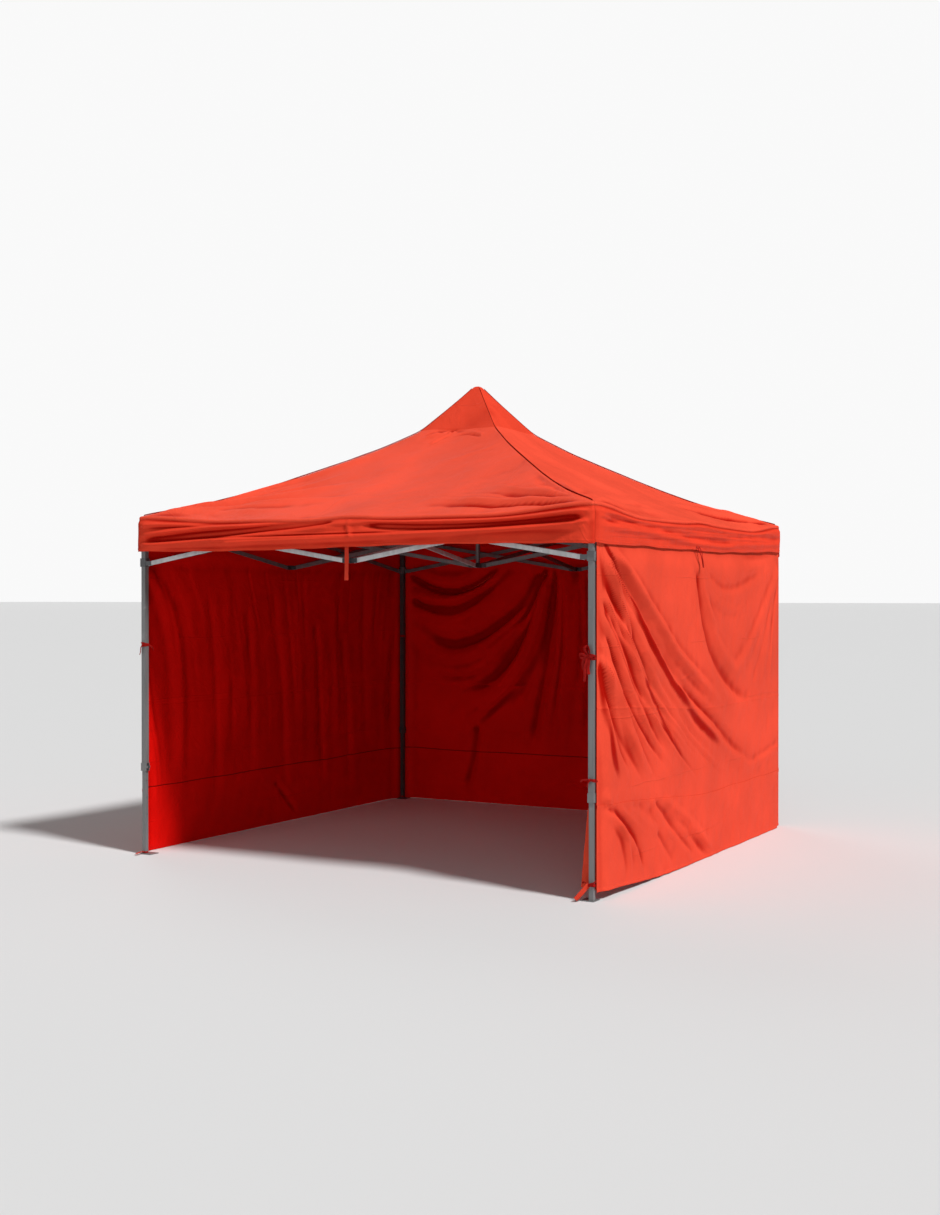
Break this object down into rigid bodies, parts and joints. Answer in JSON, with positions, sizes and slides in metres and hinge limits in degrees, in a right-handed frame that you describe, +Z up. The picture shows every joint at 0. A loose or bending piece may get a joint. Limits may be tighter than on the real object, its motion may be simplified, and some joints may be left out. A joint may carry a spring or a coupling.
{
  "type": "pop up canopy",
  "caption": "Square pop-up canopy: folding scissor frame on telescopic legs, peaked fabric roof with valance, open front and fabric walls on the other sides.",
  "frame": {"origin": "centre of the four-leg square, on the ground under the feet", "axes": "+Z up, -Y out of the open front, +X to the right as seen from the front; left and right of a side are as seen from outside it"},
  "size_m": [3.004, 3.004, 2.878],
  "materials": {
    "frame": "light grey powder-coated steel tube",
    "bracket": "black moulded nylon",
    "cap": "black moulded plastic",
    "roof_fabric": "red coated polyester",
    "wall_fabric": "red coated polyester"
  },
  "bodies": {
    "centre": {"centre_pole": "frame", "lower_hub": "bracket"},
    "hub_bar_low_front": {"hub_bar_low_front": "frame"},
    "hub_bar_high_front": {"hub_bar_high_front": "frame"},
    "mid_high_front": {"mid_bracket_high_front": "bracket"},
    "mid_low_front": {"mid_bracket_low_front": "bracket"},
    "roof_front": {"canopy_front": "roof_fabric"},
    "upper_hub": {"upper_hub": "bracket"},
    "outer_bar_front_left": {"outer_bar_front_left": "frame"},
    "inner_bar_front_left": {"inner_bar_front_left": "frame"},
    "outer_bar_front_right": {"outer_bar_front_right": "frame"},
    "inner_bar_front_right": {"inner_bar_front_right": "frame"},
    "outer_leg_front_left": {"outer_leg_front_left": "frame"},
    "slider_front_left": {"slider_front_left": "bracket"},
    "inner_leg_front_left": {"inner_leg_front_left": "frame"},
    "latch_front_left": {"leg_latch_front_left": "bracket"},
    "hub_bar_low_right": {"hub_bar_low_right": "frame"},
    "hub_bar_high_right": {"hub_bar_high_right": "frame"},
    "mid_high_right": {"mid_bracket_high_right": "bracket", "wall_right": "wall_fabric"},
    "mid_low_right": {"mid_bracket_low_right": "bracket"},
    "roof_right": {"canopy_right": "roof_fabric"},
    "outer_bar_right_left": {"outer_bar_right_left": "frame"},
    "inner_bar_right_left": {"inner_bar_right_left": "frame"},
    "outer_bar_right_right": {"outer_bar_right_right": "frame"},
    "inner_bar_right_right": {"inner_bar_right_right": "frame"},
    "outer_leg_front_right": {"outer_leg_front_right": "frame"},
    "slider_front_right": {"slider_front_right": "bracket"},
    "inner_leg_front_right": {"inner_leg_front_right": "frame"},
    "latch_front_right": {"leg_latch_front_right": "bracket"},
    "hub_bar_low_back": {"hub_bar_low_back": "frame"},
    "hub_bar_high_back": {"hub_bar_high_back": "frame"},
    "mid_high_back": {"mid_bracket_high_back": "bracket", "wall_back": "wall_fabric"},
    "mid_low_back": {"mid_bracket_low_back": "bracket"},
    "roof_back": {"canopy_back": "roof_fabric"},
    "outer_bar_back_left": {"outer_bar_back_left": "frame"},
    "inner_bar_back_left": {"inner_bar_back_left": "frame"},
    "outer_bar_back_right": {"outer_bar_back_right": "frame"},
    "inner_bar_back_right": {"inner_bar_back_right": "frame"},
    "outer_leg_back_right": {"outer_leg_back_right": "frame"},
    "slider_back_right": {"slider_back_right": "bracket"},
    "inner_leg_back_right": {"inner_leg_back_right": "frame"},
    "latch_back_right": {"leg_latch_back_right": "bracket"},
    "hub_bar_low_left": {"hub_bar_low_left": "frame"},
    "hub_bar_high_left": {"hub_bar_high_left": "frame"},
    "mid_high_left": {"mid_bracket_high_left": "bracket", "wall_left": "wall_fabric"},
    "mid_low_left": {"mid_bracket_low_left": "bracket"},
    "roof_left": {"canopy_left": "roof_fabric"},
    "outer_bar_left_left": {"outer_bar_left_left": "frame"},
    "inner_bar_left_left": {"inner_bar_left_left": "frame"},
    "outer_bar_left_right": {"outer_bar_left_right": "frame"},
    "inner_bar_left_right": {"inner_bar_left_right": "frame"},
    "outer_leg_back_left": {"outer_leg_back_left": "frame"},
    "slider_back_left": {"slider_back_left": "bracket"},
    "inner_leg_back_left": {"inner_leg_back_left": "frame"},
    "latch_back_left": {"leg_latch_back_left": "bracket"},
    "peak_tube": {"peak_tube": "frame"},
    "peak_cap": {"peak_cap": "cap"}
  },
  "joints": [
    {"name": "fold", "type": "hinge", "parent": "centre", "child": "hub_bar_low_front", "pos_m": [0.0085, -0.048, 1.74373], "axis": [-1, 0, 0], "range_deg": [0, 77.5], "deforming": ["canopy_front", "canopy_right", "canopy_back", "canopy_left", "wall_right", "wall_back", "wall_left"]},
    {"name": "hub_bar_cross_front", "type": "hinge", "parent": "hub_bar_low_front", "child": "hub_bar_high_front", "pos_m": [0, -0.739, 1.85937], "axis": [-1, 0, 0], "range_deg": [-155, 0]},
    {"name": "mid_high_front_pivot", "type": "hinge", "parent": "hub_bar_low_front", "child": "mid_high_front", "pos_m": [0, -1.43, 1.975], "axis": [-1, 0, 0], "range_deg": [-77.5, 0]},
    {"name": "mid_low_front_pivot", "type": "hinge", "parent": "hub_bar_high_front", "child": "mid_low_front", "pos_m": [0, -1.43, 1.74373], "axis": [-1, 0, 0], "range_deg": [0, 77.5]},
    {"name": "upper_hub_pivot", "type": "hinge", "parent": "hub_bar_high_front", "child": "upper_hub", "pos_m": [-0.0085, -0.048, 1.975], "axis": [-1, 0, 0], "range_deg": [0, 77.5]},
    {"name": "roof_front_turn", "type": "hinge", "parent": "mid_high_front", "child": "roof_front", "pos_m": [0, -1.508, 2.0335], "axis": [1, 0, 0], "range_deg": [0, 240]},
    {"name": "outer_bar_front_left_pivot", "type": "hinge", "parent": "mid_high_front", "child": "outer_bar_front_left", "pos_m": [-0.038, -1.4785, 1.975], "axis": [0, 1, 0], "range_deg": [-77.5, 0]},
    {"name": "bar_cross_front_left", "type": "hinge", "parent": "outer_bar_front_left", "child": "inner_bar_front_left", "pos_m": [-0.729, -1.47, 1.85937], "axis": [0, 1, 0], "range_deg": [0, 155]},
    {"name": "outer_bar_front_right_pivot", "type": "hinge", "parent": "mid_high_front", "child": "outer_bar_front_right", "pos_m": [0.038, -1.4785, 1.975], "axis": [0, -1, 0], "range_deg": [-77.5, 0]},
    {"name": "bar_cross_front_right", "type": "hinge", "parent": "outer_bar_front_right", "child": "inner_bar_front_right", "pos_m": [0.729, -1.47, 1.85937], "axis": [0, -1, 0], "range_deg": [0, 155]},
    {"name": "leg_top_front_left_pivot", "type": "hinge", "parent": "inner_bar_front_left", "child": "outer_leg_front_left", "pos_m": [-1.42, -1.4615, 1.975], "axis": [0, 1, 0], "range_deg": [-77.5, 0]},
    {"name": "slider_front_left_pivot", "type": "hinge", "parent": "outer_bar_front_left", "child": "slider_front_left", "pos_m": [-1.42, -1.4785, 1.74373], "axis": [0, 1, 0], "range_deg": [0, 77.5]},
    {"name": "leg_extend_front_left", "type": "slide", "parent": "outer_leg_front_left", "child": "inner_leg_front_left", "axis": [0, 0, 1], "range_m": [0, 0.48]},
    {"name": "latch_front_left", "type": "hinge", "parent": "outer_leg_front_left", "child": "latch_front_left", "pos_m": [-1.446, -1.47, 0.524], "axis": [0, 1, 0], "range_deg": [0, 7], "stiffness_Nm_per_rad": 0.8, "springref_deg": -14.32},
    {"name": "hub_bar_low_right_pivot", "type": "hinge", "parent": "centre", "child": "hub_bar_low_right", "pos_m": [0.048, 0.0085, 1.74373], "axis": [0, -1, 0], "range_deg": [0, 77.5]},
    {"name": "hub_bar_cross_right", "type": "hinge", "parent": "hub_bar_low_right", "child": "hub_bar_high_right", "pos_m": [0.739, 0, 1.85937], "axis": [0, -1, 0], "range_deg": [-155, 0]},
    {"name": "mid_high_right_pivot", "type": "hinge", "parent": "hub_bar_low_right", "child": "mid_high_right", "pos_m": [1.43, 0, 1.975], "axis": [0, -1, 0], "range_deg": [-77.5, 0]},
    {"name": "mid_low_right_pivot", "type": "hinge", "parent": "hub_bar_high_right", "child": "mid_low_right", "pos_m": [1.43, 0, 1.74373], "axis": [0, -1, 0], "range_deg": [0, 77.5]},
    {"name": "roof_right_turn", "type": "hinge", "parent": "mid_high_right", "child": "roof_right", "pos_m": [1.508, 0, 2.0335], "axis": [0, 1, 0], "range_deg": [0, 240]},
    {"name": "outer_bar_right_left_pivot", "type": "hinge", "parent": "mid_high_right", "child": "outer_bar_right_left", "pos_m": [1.4785, -0.038, 1.975], "axis": [-1, 0, 0], "range_deg": [-77.5, 0]},
    {"name": "bar_cross_right_left", "type": "hinge", "parent": "outer_bar_right_left", "child": "inner_bar_right_left", "pos_m": [1.47, -0.729, 1.85937], "axis": [-1, 0, 0], "range_deg": [0, 155]},
    {"name": "outer_bar_right_right_pivot", "type": "hinge", "parent": "mid_high_right", "child": "outer_bar_right_right", "pos_m": [1.4785, 0.038, 1.975], "axis": [1, 0, 0], "range_deg": [-77.5, 0]},
    {"name": "bar_cross_right_right", "type": "hinge", "parent": "outer_bar_right_right", "child": "inner_bar_right_right", "pos_m": [1.47, 0.729, 1.85937], "axis": [1, 0, 0], "range_deg": [0, 155]},
    {"name": "leg_top_front_right_pivot", "type": "hinge", "parent": "inner_bar_right_left", "child": "outer_leg_front_right", "pos_m": [1.4615, -1.42, 1.975], "axis": [-1, 0, 0], "range_deg": [-77.5, 0]},
    {"name": "slider_front_right_pivot", "type": "hinge", "parent": "outer_bar_right_left", "child": "slider_front_right", "pos_m": [1.4785, -1.42, 1.74373], "axis": [-1, 0, 0], "range_deg": [0, 77.5]},
    {"name": "leg_extend_front_right", "type": "slide", "parent": "outer_leg_front_right", "child": "inner_leg_front_right", "axis": [0, 0, 1], "range_m": [0, 0.48]},
    {"name": "latch_front_right", "type": "hinge", "parent": "outer_leg_front_right", "child": "latch_front_right", "pos_m": [1.47, -1.446, 0.524], "axis": [-1, 0, 0], "range_deg": [0, 7], "stiffness_Nm_per_rad": 0.8, "springref_deg": -14.32},
    {"name": "hub_bar_low_back_pivot", "type": "hinge", "parent": "centre", "child": "hub_bar_low_back", "pos_m": [-0.0085, 0.048, 1.74373], "axis": [1, 0, 0], "range_deg": [0, 77.5]},
    {"name": "hub_bar_cross_back", "type": "hinge", "parent": "hub_bar_low_back", "child": "hub_bar_high_back", "pos_m": [0, 0.739, 1.85937], "axis": [1, 0, 0], "range_deg": [-155, 0]},
    {"name": "mid_high_back_pivot", "type": "hinge", "parent": "hub_bar_low_back", "child": "mid_high_back", "pos_m": [0, 1.43, 1.975], "axis": [1, 0, 0], "range_deg": [-77.5, 0]},
    {"name": "mid_low_back_pivot", "type": "hinge", "parent": "hub_bar_high_back", "child": "mid_low_back", "pos_m": [0, 1.43, 1.74373], "axis": [1, 0, 0], "range_deg": [0, 77.5]},
    {"name": "roof_back_turn", "type": "hinge", "parent": "mid_high_back", "child": "roof_back", "pos_m": [0, 1.508, 2.0335], "axis": [-1, 0, 0], "range_deg": [0, 240]},
    {"name": "outer_bar_back_left_pivot", "type": "hinge", "parent": "mid_high_back", "child": "outer_bar_back_left", "pos_m": [0.038, 1.4785, 1.975], "axis": [0, -1, 0], "range_deg": [-77.5, 0]},
    {"name": "bar_cross_back_left", "type": "hinge", "parent": "outer_bar_back_left", "child": "inner_bar_back_left", "pos_m": [0.729, 1.47, 1.85937], "axis": [0, -1, 0], "range_deg": [0, 155]},
    {"name": "outer_bar_back_right_pivot", "type": "hinge", "parent": "mid_high_back", "child": "outer_bar_back_right", "pos_m": [-0.038, 1.4785, 1.975], "axis": [0, 1, 0], "range_deg": [-77.5, 0]},
    {"name": "bar_cross_back_right", "type": "hinge", "parent": "outer_bar_back_right", "child": "inner_bar_back_right", "pos_m": [-0.729, 1.47, 1.85937], "axis": [0, 1, 0], "range_deg": [0, 155]},
    {"name": "leg_top_back_right_pivot", "type": "hinge", "parent": "inner_bar_back_left", "child": "outer_leg_back_right", "pos_m": [1.42, 1.4615, 1.975], "axis": [0, -1, 0], "range_deg": [-77.5, 0]},
    {"name": "slider_back_right_pivot", "type": "hinge", "parent": "outer_bar_back_left", "child": "slider_back_right", "pos_m": [1.42, 1.4785, 1.74373], "axis": [0, -1, 0], "range_deg": [0, 77.5]},
    {"name": "leg_extend_back_right", "type": "slide", "parent": "outer_leg_back_right", "child": "inner_leg_back_right", "axis": [0, 0, 1], "range_m": [0, 0.48]},
    {"name": "latch_back_right", "type": "hinge", "parent": "outer_leg_back_right", "child": "latch_back_right", "pos_m": [1.446, 1.47, 0.524], "axis": [0, -1, 0], "range_deg": [0, 7], "stiffness_Nm_per_rad": 0.8, "springref_deg": -14.32},
    {"name": "hub_bar_low_left_pivot", "type": "hinge", "parent": "centre", "child": "hub_bar_low_left", "pos_m": [-0.048, -0.0085, 1.74373], "axis": [0, 1, 0], "range_deg": [0, 77.5]},
    {"name": "hub_bar_cross_left", "type": "hinge", "parent": "hub_bar_low_left", "child": "hub_bar_high_left", "pos_m": [-0.739, 0, 1.85937], "axis": [0, 1, 0], "range_deg": [-155, 0]},
    {"name": "mid_high_left_pivot", "type": "hinge", "parent": "hub_bar_low_left", "child": "mid_high_left", "pos_m": [-1.43, 0, 1.975], "axis": [0, 1, 0], "range_deg": [-77.5, 0]},
    {"name": "mid_low_left_pivot", "type": "hinge", "parent": "hub_bar_high_left", "child": "mid_low_left", "pos_m": [-1.43, 0, 1.74373], "axis": [0, 1, 0], "range_deg": [0, 77.5]},
    {"name": "roof_left_turn", "type": "hinge", "parent": "mid_high_left", "child": "roof_left", "pos_m": [-1.508, 0, 2.0335], "axis": [0, -1, 0], "range_deg": [0, 240]},
    {"name": "outer_bar_left_left_pivot", "type": "hinge", "parent": "mid_high_left", "child": "outer_bar_left_left", "pos_m": [-1.4785, 0.038, 1.975], "axis": [1, 0, 0], "range_deg": [-77.5, 0]},
    {"name": "bar_cross_left_left", "type": "hinge", "parent": "outer_bar_left_left", "child": "inner_bar_left_left", "pos_m": [-1.47, 0.729, 1.85937], "axis": [1, 0, 0], "range_deg": [0, 155]},
    {"name": "outer_bar_left_right_pivot", "type": "hinge", "parent": "mid_high_left", "child": "outer_bar_left_right", "pos_m": [-1.4785, -0.038, 1.975], "axis": [-1, 0, 0], "range_deg": [-77.5, 0]},
    {"name": "bar_cross_left_right", "type": "hinge", "parent": "outer_bar_left_right", "child": "inner_bar_left_right", "pos_m": [-1.47, -0.729, 1.85937], "axis": [-1, 0, 0], "range_deg": [0, 155]},
    {"name": "leg_top_back_left_pivot", "type": "hinge", "parent": "inner_bar_left_left", "child": "outer_leg_back_left", "pos_m": [-1.4615, 1.42, 1.975], "axis": [1, 0, 0], "range_deg": [-77.5, 0]},
    {"name": "slider_back_left_pivot", "type": "hinge", "parent": "outer_bar_left_left", "child": "slider_back_left", "pos_m": [-1.4785, 1.42, 1.74373], "axis": [1, 0, 0], "range_deg": [0, 77.5]},
    {"name": "leg_extend_back_left", "type": "slide", "parent": "outer_leg_back_left", "child": "inner_leg_back_left", "axis": [0, 0, 1], "range_m": [0, 0.48]},
    {"name": "latch_back_left", "type": "hinge", "parent": "outer_leg_back_left", "child": "latch_back_left", "pos_m": [-1.47, 1.446, 0.524], "axis": [1, 0, 0], "range_deg": [0, 7], "stiffness_Nm_per_rad": 0.8, "springref_deg": -14.32},
    {"name": "peak_rise", "type": "slide", "parent": "centre", "child": "peak_tube", "axis": [0, 0, 1], "range_m": [0, 0.35168]},
    {"name": "peak_cap_spring", "type": "slide", "parent": "peak_tube", "child": "peak_cap", "axis": [0, 0, 1], "range_m": [-0.015, 0], "stiffness_N_per_m": 1500, "springref_m": 0.004}
  ],
  "couplings": [
    {"joint": "hub_bar_cross_front", "follows": "fold", "ratio": -2},
    {"joint": "mid_high_front_pivot", "follows": "fold", "ratio": -1},
    {"joint": "mid_low_front_pivot", "follows": "fold", "ratio": 1},
    {"joint": "upper_hub_pivot", "follows": "fold", "ratio": 1},
    {"joint": "roof_front_turn", "follows": "fold", "ratio": 3.0968},
    {"joint": "outer_bar_front_left_pivot", "follows": "fold", "ratio": -1},
    {"joint": "bar_cross_front_left", "follows": "fold", "ratio": 2},
    {"joint": "outer_bar_front_right_pivot", "follows": "fold", "ratio": -1},
    {"joint": "bar_cross_front_right", "follows": "fold", "ratio": 2},
    {"joint": "leg_top_front_left_pivot", "follows": "fold", "ratio": -1},
    {"joint": "slider_front_left_pivot", "follows": "fold", "ratio": 1},
    {"joint": "hub_bar_low_right_pivot", "follows": "fold", "ratio": 1},
    {"joint": "hub_bar_cross_right", "follows": "fold", "ratio": -2},
    {"joint": "mid_high_right_pivot", "follows": "fold", "ratio": -1},
    {"joint": "mid_low_right_pivot", "follows": "fold", "ratio": 1},
    {"joint": "roof_right_turn", "follows": "fold", "ratio": 3.0968},
    {"joint": "outer_bar_right_left_pivot", "follows": "fold", "ratio": -1},
    {"joint": "bar_cross_right_left", "follows": "fold", "ratio": 2},
    {"joint": "outer_bar_right_right_pivot", "follows": "fold", "ratio": -1},
    {"joint": "bar_cross_right_right", "follows": "fold", "ratio": 2},
    {"joint": "leg_top_front_right_pivot", "follows": "fold", "ratio": -1},
    {"joint": "slider_front_right_pivot", "follows": "fold", "ratio": 1},
    {"joint": "hub_bar_low_back_pivot", "follows": "fold", "ratio": 1},
    {"joint": "hub_bar_cross_back", "follows": "fold", "ratio": -2},
    {"joint": "mid_high_back_pivot", "follows": "fold", "ratio": -1},
    {"joint": "mid_low_back_pivot", "follows": "fold", "ratio": 1},
    {"joint": "roof_back_turn", "follows": "fold", "ratio": 3.0968},
    {"joint": "outer_bar_back_left_pivot", "follows": "fold", "ratio": -1},
    {"joint": "bar_cross_back_left", "follows": "fold", "ratio": 2},
    {"joint": "outer_bar_back_right_pivot", "follows": "fold", "ratio": -1},
    {"joint": "bar_cross_back_right", "follows": "fold", "ratio": 2},
    {"joint": "leg_top_back_right_pivot", "follows": "fold", "ratio": -1},
    {"joint": "slider_back_right_pivot", "follows": "fold", "ratio": 1},
    {"joint": "hub_bar_low_left_pivot", "follows": "fold", "ratio": 1},
    {"joint": "hub_bar_cross_left", "follows": "fold", "ratio": -2},
    {"joint": "mid_high_left_pivot", "follows": "fold", "ratio": -1},
    {"joint": "mid_low_left_pivot", "follows": "fold", "ratio": 1},
    {"joint": "roof_left_turn", "follows": "fold", "ratio": 3.0968},
    {"joint": "outer_bar_left_left_pivot", "follows": "fold", "ratio": -1},
    {"joint": "bar_cross_left_left", "follows": "fold", "ratio": 2},
    {"joint": "outer_bar_left_right_pivot", "follows": "fold", "ratio": -1},
    {"joint": "bar_cross_left_right", "follows": "fold", "ratio": 2},
    {"joint": "leg_top_back_left_pivot", "follows": "fold", "ratio": -1},
    {"joint": "slider_back_left_pivot", "follows": "fold", "ratio": 1},
    {"joint": "peak_rise", "follows": "fold", "m_per_rad": 0.26}
  ]
}
